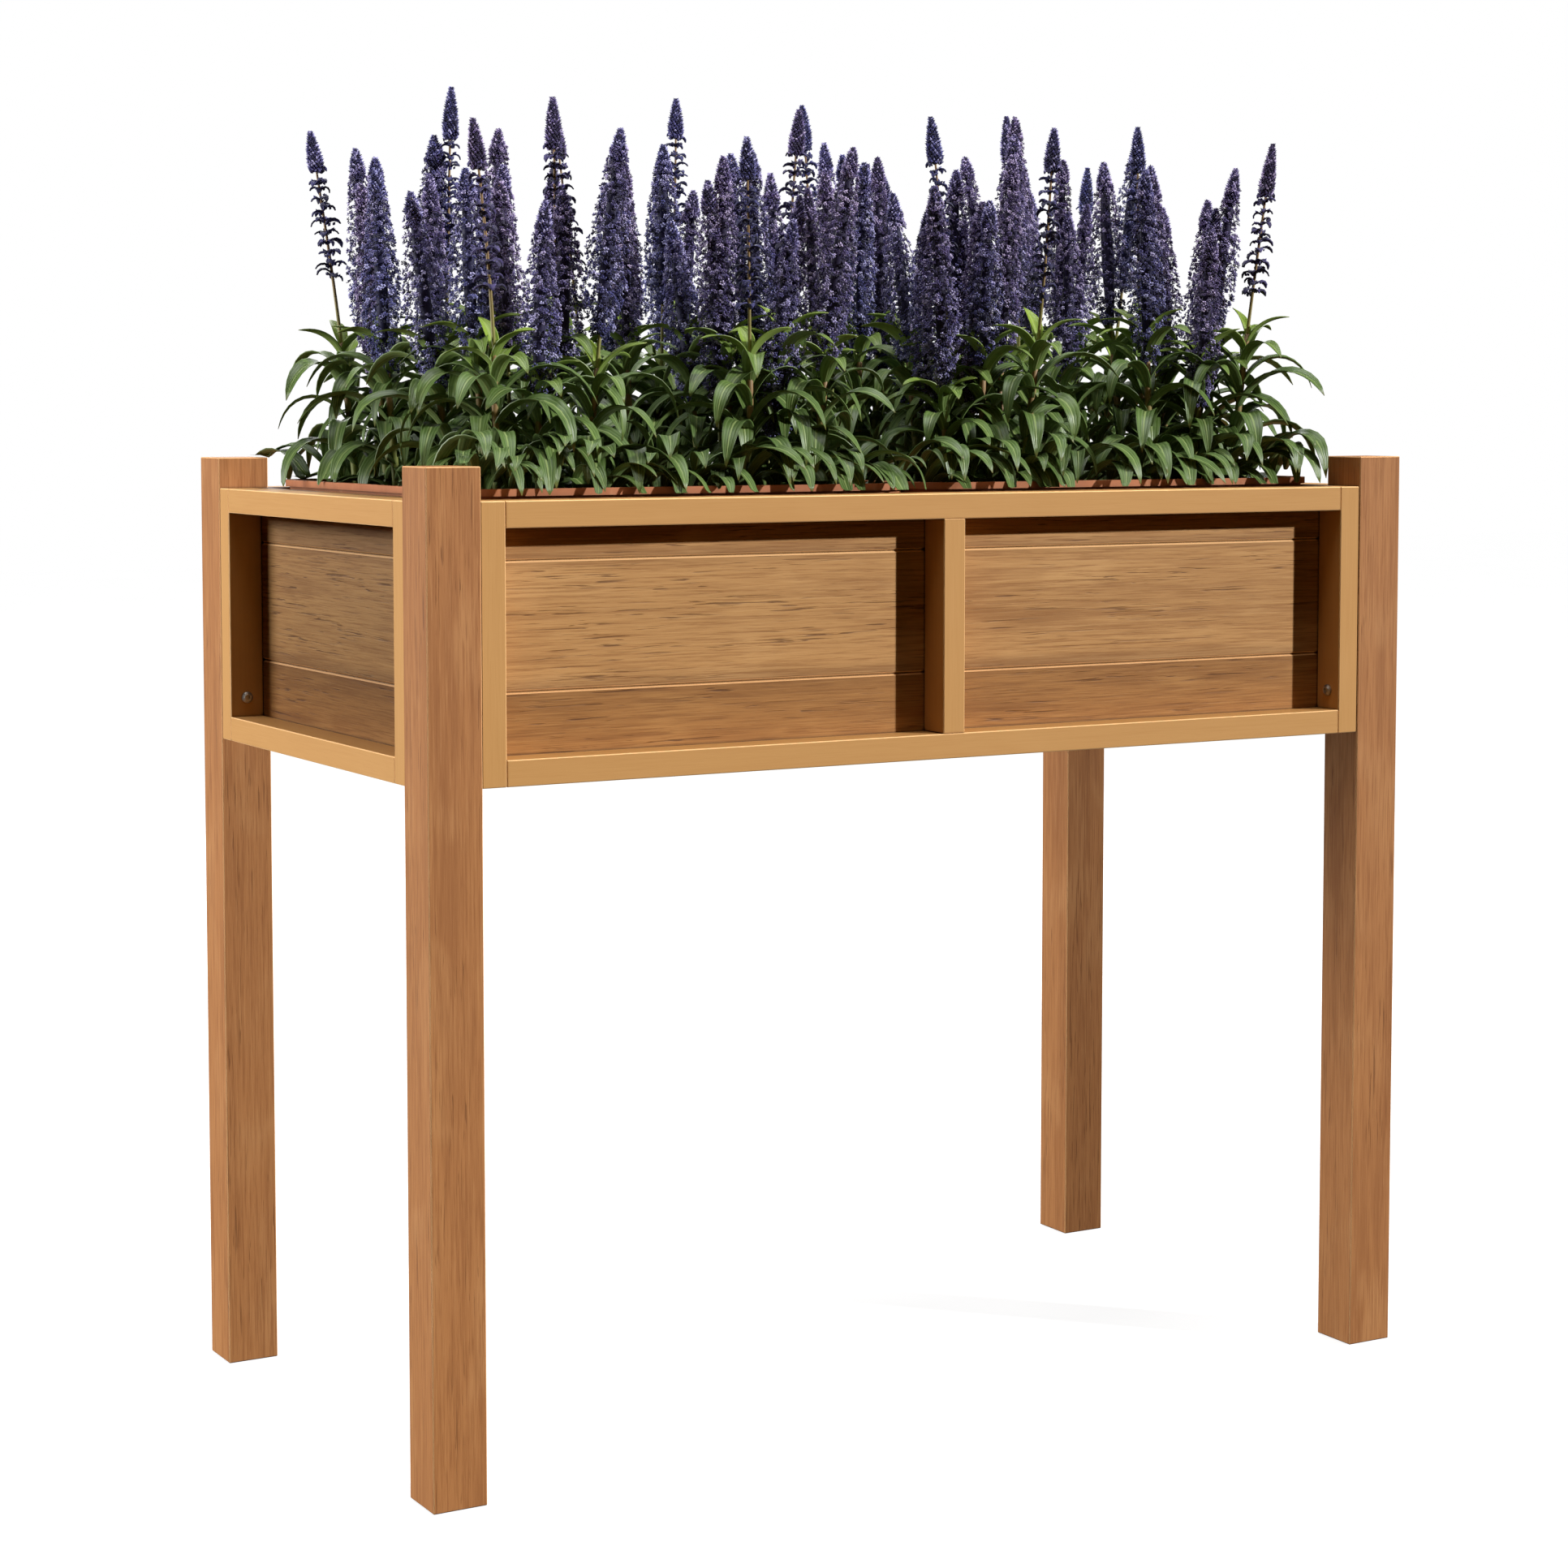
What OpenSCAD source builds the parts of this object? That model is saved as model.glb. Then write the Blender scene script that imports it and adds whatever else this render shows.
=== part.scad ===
// Raised planter on legs: four posts, panelled sides, a slatted floor and two
// lift-out troughs planted with flowers.
// Millimetres, +Z up. The origin is on the ground under the centre of the box.
// +X is the right-hand end seen from the front, and the front faces -Y.

/* [Overall] */
// Length over the posts, left to right
planter_w = 1000; // [960:20:1200]
// Depth over the posts, front to back
planter_d = 524; // [520:4:600]
// Height of the posts
post_h = 850; // [760:10:950]
// Side of a square post
post_w = 48; // [48:1:60]

/* [Side frames] */
// Drop from the top of the posts to the top of the frames
frame_drop = 28; // [10:1:60]
// Height of the frames
frame_h = 232; // [220:2:280]
// Width of a rail, a stile or the muntin, seen from outside
bar_w = 22; // [18:1:30]
// Thickness of the frames
bar_d = 32; // [28:1:32]
// Distance from the posts' outer faces to the frames' outer faces
setback = 1; // [0.5:0.1:1]
// Width of the worn edge on posts and frames
arris = 0.8; // [0.4:0.1:1.5]

/* [Cladding] */
// Thickness of a cladding board
board_t = 14; // [12:0.5:14]
// Height of the bottom board
low_board_h = 74; // [60:1:80]
// Height of the middle board
mid_board_h = 108; // [90:1:110]
// Size of the chamfers that make the groove between two boards
groove = 1.8; // [1:0.1:3]

/* [Floor] */
// Width of a slat
slat_w = 95; // [70:1:100]
// Thickness of a slat
slat_t = 14; // [10:1:18]
// Height of a ledger strip
ledger_h = 30; // [26:1:30]
// Thickness of a ledger strip
ledger_t = 20; // [16:1:24]

/* [Troughs and planting] */
// Wall of a trough
trough_wall = 3.5; // [2.5:0.5:5]
// Corner radius of a trough
trough_r = 42; // [30:1:60]
// How far the rim stands above the frames
rim_up = 8; // [2:1:15]
// Depth from the rim down to the compost
head_space = 24; // [15:1:40]
// Height of the tallest flower spike above the ground
flower_top = 1196; // [1100:2:1250]
// Radius of the leafy crown of one plant
crown_r = 102; // [80:1:102]

/* [Hidden] */
$fn = 64;
x_out = planter_w / 2;
y_out = planter_d / 2;

// Inner faces of the posts, centre planes of the frames and outer faces of the boards
x_post = x_out - post_w;
y_post = y_out - post_w;
x_bar = x_out - setback - bar_d / 2;
y_bar = y_out - setback - bar_d / 2;
x_board = x_out - setback - bar_d;
y_board = y_out - setback - bar_d;

// Heights of the frames and of the openings in them
frame_top = post_h - frame_drop;
frame_low = frame_top - frame_h;
panel_low = frame_low + bar_w;
panel_top = frame_top - bar_w;

// Cladding: lower edges of the three boards, the top edge of the last, and the screws
board_edges = [frame_low, frame_low + low_board_h, frame_low + low_board_h + mid_board_h, frame_top];
board_screw_up = [25, mid_board_h / 2, 25];
board_slack = 1;
tongue_t = 4;
tongue_l = 5;

// Fasteners. Clearances are on the radius.
loose = 0.2;
snug = 0.05;
bolt_z = frame_low + 39.5;
bolt_r = 3;
bolt_reach = 18;
bolt_head_r = 5.25;
bolt_head_h = 3.3;
bolt_key_r = 2.3;
insert_r = 5;
insert_l = 14;
dowel_z = frame_top - 42;
post_dowel_r = 4;
post_dowel_l = 28;
rail_dowel_r = 3;
rail_dowel_l = 24;
screw_r = 2;
screw_head_r = 4;
board_screw_l = 26;
ledger_screw_l = 45;
slat_screw_l = 32;

// Floor: slats on two ledgers, spread evenly along the box
slat_count = 6;
slat_pitch = 2 * x_post / slat_count;
ledger_y = y_board - board_t;
ledger_l = 2 * x_post - 4;
ledger_top = panel_low + 8;
ledger_screw_z = frame_low + bar_w / 2;
slat_l = 2 * ledger_y - 4;
floor_top = ledger_top + slat_t;

// Troughs: rim sizes, the gap to the posts and half the gap between the troughs
trough_gap = 3;
half_gap = 1.5;
trough_w = x_post - trough_gap - half_gap;
trough_d = 2 * (y_post - trough_gap);
trough_x = half_gap + trough_w / 2;
rim_out = 4;
rim_h = 6;
rim_top = frame_top + rim_up;
drain_r = 6;
drain_dy = 110;
compost_gap = 0.3;
compost_top = rim_top - head_space;

// Planting: two rows of two plants in each trough. A stalk starts inside the crown.
stalk_low = rim_top + 96;
plant_dx = trough_w / 4;
plant_dy = y_post / 2;
stem_r = 7;
root_l = 60;
crown_top = rim_top + 140;
stalk_count = 8;
stalk_r = 2;
spike_r = 17;
spike_l = 150;
spike_spread = 70;

// Draws at the left end what is on the left (side -1), or its mirror image on the right (side 1)
module end_of(side) {
    mirror([side > 0 ? 1 : 0, 0, 0]) children();
}

// Draws in the front what is in the front (side -1), or its mirror image at the back (side 1)
module face_of(side) {
    mirror([0, side > 0 ? 1 : 0, 0]) children();
}

// A rectangle with its four corners cut off
module cut_rectangle(w, h, cut) {
    x = w / 2;
    y = h / 2;
    polygon([[-x + cut, -y], [x - cut, -y], [x, -y + cut], [x, y - cut],
        [x - cut, y], [-x + cut, y], [-x, y - cut], [-x, -y + cut]]);
}

// A rectangle with round corners
module round_rectangle(w, d, r) {
    square([w, d - 2 * r], center = true);
    square([w - 2 * r, d], center = true);
    for (x = [-1, 1], y = [-1, 1]) translate([x * (w / 2 - r), y * (d / 2 - r)]) circle(r);
}

// A planed bar with every edge slightly worn, between two opposite corners
module bar(low, high) {
    size = high - low;
    translate((low + high) / 2) intersection() {
        linear_extrude(size.z, center = true) cut_rectangle(size.x, size.y, arris);
        rotate([90, 0, 0]) linear_extrude(size.y, center = true) cut_rectangle(size.x, size.z, arris);
        rotate([90, 0, 90]) linear_extrude(size.x, center = true) cut_rectangle(size.y, size.z, arris);
    }
}

// ---- Fasteners, each along X ----

// Socket-head bolt: x = 0 is the face of the post, and the head is on the stile
module bolt() {
    rotate([0, 90, 0]) difference() {
        union() {
            translate([0, 0, -bolt_reach]) cylinder(r = bolt_r, h = bolt_reach + bar_w + 0.5);
            translate([0, 0, bar_w]) cylinder(r = bolt_head_r, h = bolt_head_h * 0.45);
            translate([0, 0, bar_w + bolt_head_h * 0.45])
                cylinder(r1 = bolt_head_r, r2 = bolt_head_r * 0.62, h = bolt_head_h * 0.55);
        }
        translate([0, 0, bar_w + bolt_head_h - 2]) cylinder(r = bolt_key_r, h = 3, $fn = 6);
    }
}

// Threaded insert for the bolt, flush with the face of the post
module insert() {
    rotate([0, -90, 0]) difference() {
        cylinder(r = insert_r, h = insert_l);
        translate([0, 0, -1]) cylinder(r = bolt_r + snug, h = insert_l + 2);
    }
}

// Hole for the bolt and its insert
module bolt_hole() {
    rotate([0, -90, 0]) {
        translate([0, 0, -bar_w - 1]) cylinder(r = bolt_r + loose, h = bar_w + bolt_reach + 3);
        cylinder(r = insert_r + snug, h = insert_l + 0.5);
    }
}

// Dowel with its middle at the origin
module dowel(r, l) {
    rotate([0, 90, 0]) cylinder(r = r, h = l, center = true);
}

// Countersunk screw: its head is flush at x = 0 and its point is at x = l
module screw(l, extra = 0) {
    rotate([0, 90, 0]) {
        translate([0, 0, screw_head_r - screw_r - 0.01]) cylinder(r = screw_r + extra, h = l - 2);
        cylinder(r1 = screw_head_r + extra, r2 = screw_r + extra, h = screw_head_r - screw_r);
    }
}

// ---- Places of the joints, for the front left corner, the front face and the left end ----

// Joint between the front frame and its post, with X pointing out of the post
module front_joint(z) {
    translate([-x_post, -y_bar, z]) children();
}

// Joint between the left end frame and its post, with X pointing out of the post
module end_joint(z) {
    translate([-x_bar, -y_post, z]) rotate([0, 0, 90]) children();
}

// Both joints of all four corners
module corner_joints(z) {
    for (x = [-1, 1], y = [-1, 1]) end_of(x) face_of(y) {
        front_joint(z) children();
        end_joint(z) children();
    }
}

// Joints between rails, stiles and muntin in the front frame
module front_rail_joints() {
    for (x = [-1, 1], z = [panel_low - bar_w / 2, panel_top + bar_w / 2])
        translate([x * (x_post - bar_w), -y_bar, z]) children();
    for (z = [panel_low, panel_top]) translate([0, -y_bar, z]) rotate([0, 90, 0]) children();
}

// Joints between rails and stiles in the left end frame
module end_rail_joints() {
    for (y = [-1, 1], z = [panel_low - bar_w / 2, panel_top + bar_w / 2])
        translate([-x_bar, y * (y_post - bar_w), z]) rotate([0, 0, 90]) children();
}

// Screws through board number i of the front into both stiles and the muntin, with X outwards
module front_board_fixings(i) {
    for (x = [-1, 0, 1])
        translate([x * (x_post - bar_w / 2), -ledger_y, board_edges[i] + board_screw_up[i]])
            rotate([0, 0, -90]) children();
}

// Screws through board number i of the left end into both stiles, with X outwards
module end_board_fixings(i) {
    for (y = [-1, 1])
        translate([-x_board + board_t, y * (y_post - bar_w / 2), board_edges[i] + board_screw_up[i]])
            rotate([0, 0, 180]) children();
}

// Screws through the front ledger and the bottom board into the bottom rail, with X outwards
module front_ledger_fixings() {
    for (i = [-2:2]) translate([i * slat_pitch, -ledger_y + ledger_t, ledger_screw_z])
        rotate([0, 0, -90]) children();
}

// Place of the middle of slat number i, counted from the left from 1
function slat_x(i) = (i - (slat_count + 1) / 2) * slat_pitch;

// Screws through slat number i into both ledgers, with X downwards
module slat_fixings(i) {
    for (y = [-1, 1]) translate([slat_x(i), y * (ledger_y - ledger_t / 2), floor_top])
        rotate([0, 90, 0]) children();
}

// ---- Wooden pieces ----

module post(x, y) {
    color("#b27a4a") end_of(x) face_of(y) difference() {
        bar([-x_out, -y_out, 0], [-x_post, -y_post, post_h]);
        front_joint(bolt_z) bolt_hole();
        end_joint(bolt_z) bolt_hole();
        front_joint(dowel_z) dowel(post_dowel_r + snug, post_dowel_l + 1);
        end_joint(dowel_z) dowel(post_dowel_r + snug, post_dowel_l + 1);
    }
}

module long_stile(face, end) {
    color("#c5925a") face_of(face) end_of(end) difference() {
        bar([-x_post, -y_bar - bar_d / 2, frame_low], [-x_post + bar_w, -y_bar + bar_d / 2, frame_top]);
        front_joint(bolt_z) dowel(bolt_r + loose, 3 * bar_w);
        front_joint(dowel_z) dowel(post_dowel_r + snug, post_dowel_l + 1);
        front_rail_joints() dowel(rail_dowel_r + snug, rail_dowel_l + 1);
        for (i = [0:2]) front_board_fixings(i) screw(board_screw_l, snug);
    }
}

module end_stile(end, face) {
    color("#c5925a") end_of(end) face_of(face) difference() {
        bar([-x_bar - bar_d / 2, -y_post, frame_low], [-x_bar + bar_d / 2, -y_post + bar_w, frame_top]);
        end_joint(bolt_z) dowel(bolt_r + loose, 3 * bar_w);
        end_joint(dowel_z) dowel(post_dowel_r + snug, post_dowel_l + 1);
        end_rail_joints() dowel(rail_dowel_r + snug, rail_dowel_l + 1);
        for (i = [0:2]) end_board_fixings(i) screw(board_screw_l, snug);
    }
}

// Rail of the front or back frame whose lower edge is at z
module long_rail(face, z) {
    x = x_post - bar_w;
    color("#c5925a") face_of(face) difference() {
        bar([-x, -y_bar - bar_d / 2, z], [x, -y_bar + bar_d / 2, z + bar_w]);
        front_rail_joints() dowel(rail_dowel_r + snug, rail_dowel_l + 1);
        front_ledger_fixings() screw(ledger_screw_l, snug);
    }
}

// Rail of an end frame whose lower edge is at z
module end_rail(end, z) {
    y = y_post - bar_w;
    color("#c5925a") end_of(end) difference() {
        bar([-x_bar - bar_d / 2, -y, z], [-x_bar + bar_d / 2, y, z + bar_w]);
        end_rail_joints() dowel(rail_dowel_r + snug, rail_dowel_l + 1);
    }
}

module muntin(face) {
    color("#c5925a") face_of(face) difference() {
        bar([-bar_w / 2, -y_bar - bar_d / 2, panel_low], [bar_w / 2, -y_bar + bar_d / 2, panel_top]);
        front_rail_joints() dowel(rail_dowel_r + snug, rail_dowel_l + 1);
        for (i = [0:2]) front_board_fixings(i) screw(board_screw_l, snug);
    }
}

// Cross-section of board number i: X is its thickness with the outer face at 0, Y is height.
// Its outer edges are chamfered where boards meet. A tongue stands up on all but the top
// board, and all but the bottom board have a groove for it.
module board_section(i) {
    low = board_edges[i];
    high = board_edges[i + 1];
    middle = board_t / 2;
    difference() {
        union() {
            polygon([[0, low + (i > 0 ? groove : 0)], [i > 0 ? groove : 0, low], [board_t, low],
                [board_t, high], [i < 2 ? groove : 0, high], [0, high - (i < 2 ? groove : 0)]]);
            if (i < 2) translate([middle - tongue_t / 2, high - 1]) square([tongue_t, tongue_l + 1]);
        }
        if (i > 0) translate([middle - tongue_t / 2 - snug, low - 1])
            square([tongue_t + 2 * snug, tongue_l + 1.5]);
    }
}

module long_board(face, i) {
    l = 2 * x_post - board_slack;
    color("#b58550") face_of(face) difference() {
        translate([-l / 2, -y_board, 0]) rotate([90, 0, 90]) linear_extrude(l) board_section(i);
        front_board_fixings(i) screw(board_screw_l, snug);
        front_ledger_fixings() screw(ledger_screw_l, snug);
    }
}

module end_board(end, i) {
    l = 2 * y_post - board_slack;
    color("#b58550") end_of(end) difference() {
        translate([-x_board, l / 2, 0]) rotate([90, 0, 0]) linear_extrude(l) board_section(i);
        end_board_fixings(i) screw(board_screw_l, snug);
    }
}

module ledger(face) {
    color("#b58550") face_of(face) difference() {
        bar([-ledger_l / 2, -ledger_y, ledger_top - ledger_h],
            [ledger_l / 2, -ledger_y + ledger_t, ledger_top]);
        front_ledger_fixings() screw(ledger_screw_l, snug);
        for (i = [1:slat_count]) slat_fixings(i) screw(slat_screw_l, snug);
    }
}

module floor_slat(i) {
    color("#b58550") difference() {
        bar([slat_x(i) - slat_w / 2, -slat_l / 2, ledger_top],
            [slat_x(i) + slat_w / 2, slat_l / 2, floor_top]);
        slat_fixings(i) screw(slat_screw_l, snug);
    }
}

// ---- Fastener groups ----

module frame_bolts() {
    color("silver") corner_joints(bolt_z) bolt();
}

module bolt_inserts() {
    color("goldenrod") corner_joints(bolt_z) insert();
}

module frame_dowels() {
    color("burlywood") {
        corner_joints(dowel_z) dowel(post_dowel_r, post_dowel_l);
        for (side = [-1, 1]) {
            face_of(side) front_rail_joints() dowel(rail_dowel_r, rail_dowel_l);
            end_of(side) end_rail_joints() dowel(rail_dowel_r, rail_dowel_l);
        }
    }
}

module board_screws() {
    color("silver") for (side = [-1, 1], i = [0:2]) {
        face_of(side) front_board_fixings(i) screw(board_screw_l);
        end_of(side) end_board_fixings(i) screw(board_screw_l);
    }
}

module ledger_screws() {
    color("silver") for (side = [-1, 1]) face_of(side) front_ledger_fixings() screw(ledger_screw_l);
}

module slat_screws() {
    color("silver") for (i = [1:slat_count]) slat_fixings(i) screw(slat_screw_l);
}

// ---- Troughs and planting ----

// Open-topped trough with a flat rim and drain holes
module trough(end) {
    w = trough_w - 2 * rim_out;
    d = trough_d - 2 * rim_out;
    color("#a8583c") end_of(end) translate([-trough_x, 0, 0]) difference() {
        union() {
            translate([0, 0, floor_top]) linear_extrude(rim_top - floor_top)
                round_rectangle(w, d, trough_r - rim_out);
            translate([0, 0, rim_top - rim_h]) linear_extrude(rim_h)
                round_rectangle(trough_w, trough_d, trough_r);
        }
        translate([0, 0, floor_top + trough_wall]) linear_extrude(rim_top)
            round_rectangle(w - 2 * trough_wall, d - 2 * trough_wall, trough_r - rim_out - trough_wall);
        for (x = [-1, 1], y = [-1, 0, 1])
            translate([x * slat_pitch / 2, y * drain_dy, floor_top - 1])
                cylinder(r = drain_r, h = trough_wall + 2);
    }
}

// Places of the four plants of the left trough
module plant_at(x, y) {
    translate([-trough_x + x * plant_dx, y * plant_dy, 0]) children();
}

module compost(end) {
    edge = 2 * (rim_out + trough_wall + compost_gap);
    low = floor_top + trough_wall;
    color("#3b2a1e") end_of(end) difference() {
        translate([-trough_x, 0, low]) linear_extrude(compost_top - low)
            round_rectangle(trough_w - edge, trough_d - edge, trough_r - edge / 2);
        for (x = [-1, 1], y = [-1, 1]) plant_at(x, y)
            translate([0, 0, compost_top - root_l]) cylinder(r = stem_r + snug, h = root_l + 1);
    }
}

// A fraction from 0 to 1 that looks random but is the same every time
function scatter(n) = let (v = 43758.5 * sin(n * 127.1)) v - floor(v);

// Place of flower stalk k of plant p, from the plant's middle, and the height of its tip
function stalk_place(p, k) = let (
    turn = 360 * (k + 0.4 * scatter(11 * p + k)) / stalk_count,
    out = (k % 2 == 0 ? 0.36 : 0.73) * crown_r + 9 * scatter(7 * p + 3 * k)
) [out * cos(turn), out * sin(turn), flower_top - (k == 0 ? 0 : spike_spread * scatter(13 * p + 5 * k))];

// One plant: root, leafy crown, and upright stalks that end in flower spikes
module plant(p, end, x, y) {
    color("#3f6b35") end_of(end) plant_at(x, y) union() {
        translate([0, 0, compost_top - root_l]) cylinder(r = stem_r, h = root_l + 1);
        rotate_extrude() polygon([[0, compost_top], [crown_r * 0.45, compost_top],
            [crown_r, compost_top + 64], [crown_r, crown_top - 50], [crown_r * 0.6, crown_top],
            [0, crown_top]]);
        for (k = [0:stalk_count - 1]) let (tip = stalk_place(p, k)) {
            translate([tip.x, tip.y, stalk_low])
                cylinder(r = stalk_r, h = tip.z - spike_l + 1 - stalk_low);
            translate([tip.x, tip.y, tip.z - spike_l]) rotate_extrude()
                polygon([[0, 0], [spike_r * 0.6, 0], [spike_r, spike_l * 0.35],
                    [spike_r * 0.8, spike_l * 0.7], [0, spike_l]]);
        }
    }
}

post(-1, -1);  // post_front_left
post(1, -1);  // post_front_right
post(-1, 1);  // post_back_left
post(1, 1);  // post_back_right
long_rail(-1, panel_top);  // front_top_rail
long_rail(-1, frame_low);  // front_bottom_rail
long_stile(-1, -1);  // front_left_stile
long_stile(-1, 1);  // front_right_stile
muntin(-1);  // front_muntin
long_rail(1, panel_top);  // back_top_rail
long_rail(1, frame_low);  // back_bottom_rail
long_stile(1, -1);  // back_left_stile
long_stile(1, 1);  // back_right_stile
muntin(1);  // back_muntin
end_rail(-1, panel_top);  // left_top_rail
end_rail(-1, frame_low);  // left_bottom_rail
end_stile(-1, -1);  // left_front_stile
end_stile(-1, 1);  // left_back_stile
end_rail(1, panel_top);  // right_top_rail
end_rail(1, frame_low);  // right_bottom_rail
end_stile(1, -1);  // right_front_stile
end_stile(1, 1);  // right_back_stile
long_board(-1, 0);  // front_board_low
long_board(-1, 1);  // front_board_middle
long_board(-1, 2);  // front_board_top
long_board(1, 0);  // back_board_low
long_board(1, 1);  // back_board_middle
long_board(1, 2);  // back_board_top
end_board(-1, 0);  // left_board_low
end_board(-1, 1);  // left_board_middle
end_board(-1, 2);  // left_board_top
end_board(1, 0);  // right_board_low
end_board(1, 1);  // right_board_middle
end_board(1, 2);  // right_board_top
ledger(-1);  // front_ledger
ledger(1);  // back_ledger
floor_slat(1);  // floor_slat_1
floor_slat(2);  // floor_slat_2
floor_slat(3);  // floor_slat_3
floor_slat(4);  // floor_slat_4
floor_slat(5);  // floor_slat_5
floor_slat(6);  // floor_slat_6
frame_bolts();
bolt_inserts();
frame_dowels();
board_screws();
ledger_screws();
slat_screws();
trough(-1);  // left_trough
compost(-1);  // left_compost
trough(1);  // right_trough
compost(1);  // right_compost
plant(1, -1, -1, -1);  // left_plant_front_outer
plant(2, -1, 1, -1);  // left_plant_front_inner
plant(3, -1, -1, 1);  // left_plant_back_outer
plant(4, -1, 1, 1);  // left_plant_back_inner
plant(5, 1, -1, -1);  // right_plant_front_outer
plant(6, 1, 1, -1);  // right_plant_front_inner
plant(7, 1, -1, 1);  // right_plant_back_outer
plant(8, 1, 1, 1);  // right_plant_back_inner
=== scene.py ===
"""Looks of a raised planter on legs: wood, troughs, compost and flowering plants.

Everything is in metres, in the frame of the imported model: +X is the right-hand end seen from
the front, the front faces -Y, and +Z is up.
"""

import math

import bpy
import numpy as np
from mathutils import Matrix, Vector


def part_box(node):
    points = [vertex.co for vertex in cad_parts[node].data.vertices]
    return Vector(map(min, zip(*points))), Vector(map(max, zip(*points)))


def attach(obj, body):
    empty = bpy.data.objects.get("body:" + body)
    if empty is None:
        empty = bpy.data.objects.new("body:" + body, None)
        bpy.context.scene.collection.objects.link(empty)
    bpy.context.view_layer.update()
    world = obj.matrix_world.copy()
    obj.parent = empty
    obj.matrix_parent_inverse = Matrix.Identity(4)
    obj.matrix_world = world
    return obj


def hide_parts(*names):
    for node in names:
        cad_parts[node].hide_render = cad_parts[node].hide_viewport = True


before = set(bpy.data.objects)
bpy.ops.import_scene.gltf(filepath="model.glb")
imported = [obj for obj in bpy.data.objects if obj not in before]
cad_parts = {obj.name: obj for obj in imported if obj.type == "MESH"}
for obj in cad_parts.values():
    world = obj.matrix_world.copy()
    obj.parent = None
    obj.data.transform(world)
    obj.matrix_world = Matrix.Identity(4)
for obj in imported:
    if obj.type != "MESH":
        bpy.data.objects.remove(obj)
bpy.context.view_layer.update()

UP = np.array([0.0, 0.0, 1.0])
GOLDEN_TURN = math.pi * (3 - math.sqrt(5))

# ---- Camera -------------------------------------------------------------------------------

CAMERA_PLACE = (-1.525, -2.624, 0.903)
CAMERA_TURN = 29.8
CAMERA_TILT = 4.03
CAMERA_LENS = 74.0
CAMERA_SHIFT = -0.10
SENSOR_WIDTH = 36.0


def make_camera():
    """A long lens at the front left, a little above the posts, that looks slightly down."""
    data = bpy.data.cameras.new("camera")
    data.lens = CAMERA_LENS
    data.sensor_width = SENSOR_WIDTH
    data.shift_y = CAMERA_SHIFT
    camera = bpy.data.objects.new("camera", data)
    camera.location = CAMERA_PLACE
    camera.rotation_euler = (math.radians(90 - CAMERA_TILT), 0, math.radians(-CAMERA_TURN))
    bpy.context.collection.objects.link(camera)
    bpy.context.scene.camera = camera


# ---- Shader helpers -----------------------------------------------------------------------


def linear(red, green, blue):
    """A screen colour from 0 to 255 as the linear colour that shaders take."""
    def channel(value):
        value /= 255
        return value / 12.92 if value <= 0.04045 else ((value + 0.055) / 1.055) ** 2.4
    return (channel(red), channel(green), channel(blue), 1.0)


def new_material(name):
    """An empty material with a Principled shader, as (material, node tree, shader)."""
    material = bpy.data.materials.new(name)
    material.use_nodes = True
    tree = material.node_tree
    tree.nodes.clear()
    shader = tree.nodes.new("ShaderNodeBsdfPrincipled")
    output = tree.nodes.new("ShaderNodeOutputMaterial")
    tree.links.new(shader.outputs[0], output.inputs[0])
    return material, tree, shader


def put(tree, socket, value):
    """Links a socket to value if that is another node's output, or else sets it."""
    if isinstance(value, bpy.types.NodeSocket):
        tree.links.new(value, socket)
    else:
        socket.default_value = value


def attribute(tree, name):
    """A value that is stored at the points of the mesh."""
    found = tree.nodes.new("ShaderNodeAttribute")
    found.attribute_name = name
    return found.outputs["Fac"]


def maths(tree, operation, *values):
    """The result of one operation on numbers or on other nodes' outputs."""
    made = tree.nodes.new("ShaderNodeMath")
    made.operation = operation
    for socket, value in zip(made.inputs, values):
        put(tree, socket, value)
    return made.outputs[0]


def times(tree, *values):
    """The product of several values."""
    product = values[0]
    for value in values[1:]:
        product = maths(tree, "MULTIPLY", product, value)
    return product


def stretch(tree, scale, shift=(0, 0, 0)):
    """Coordinates fixed to the object, scaled along each axis."""
    place = tree.nodes.new("ShaderNodeTexCoord")
    mapping = tree.nodes.new("ShaderNodeMapping")
    mapping.inputs["Location"].default_value = shift
    mapping.inputs["Scale"].default_value = scale
    tree.links.new(place.outputs["Object"], mapping.inputs["Vector"])
    return mapping.outputs[0]


def noise(tree, scale, detail=2.0, roughness=0.5, distortion=0.0, shift=(0, 0, 0)):
    """Noise with its own scale along each axis, or one scale for all three."""
    made = tree.nodes.new("ShaderNodeTexNoise")
    scales = scale if isinstance(scale, (list, tuple)) else (scale, scale, scale)
    tree.links.new(stretch(tree, scales, shift), made.inputs["Vector"])
    made.inputs["Scale"].default_value = 1.0
    made.inputs["Detail"].default_value = detail
    made.inputs["Roughness"].default_value = roughness
    made.inputs["Distortion"].default_value = distortion
    return made.outputs["Fac"]


def between(tree, value, low, high):
    """0 where value is at low, 1 where it is at high, and smooth between."""
    made = tree.nodes.new("ShaderNodeMapRange")
    made.interpolation_type = "SMOOTHSTEP"
    put(tree, made.inputs["Value"], value)
    made.inputs["From Min"].default_value = low
    made.inputs["From Max"].default_value = high
    return made.outputs["Result"]


def mix(tree, amount, first, second):
    """Blends two colours by an amount from 0 to 1."""
    made = tree.nodes.new("ShaderNodeMix")
    made.data_type = "RGBA"
    put(tree, made.inputs["Factor"], amount)
    sockets = [s for s in made.inputs if s.type == "RGBA"]
    put(tree, sockets[0], first)
    put(tree, sockets[1], second)
    return [s for s in made.outputs if s.type == "RGBA"][0]


def exposure(tree, distance):
    """1 where a surface is open to the air, and less in a corner or a groove."""
    made = tree.nodes.new("ShaderNodeAmbientOcclusion")
    made.samples = 8
    made.inputs["Distance"].default_value = distance
    return made.outputs["AO"]


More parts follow.
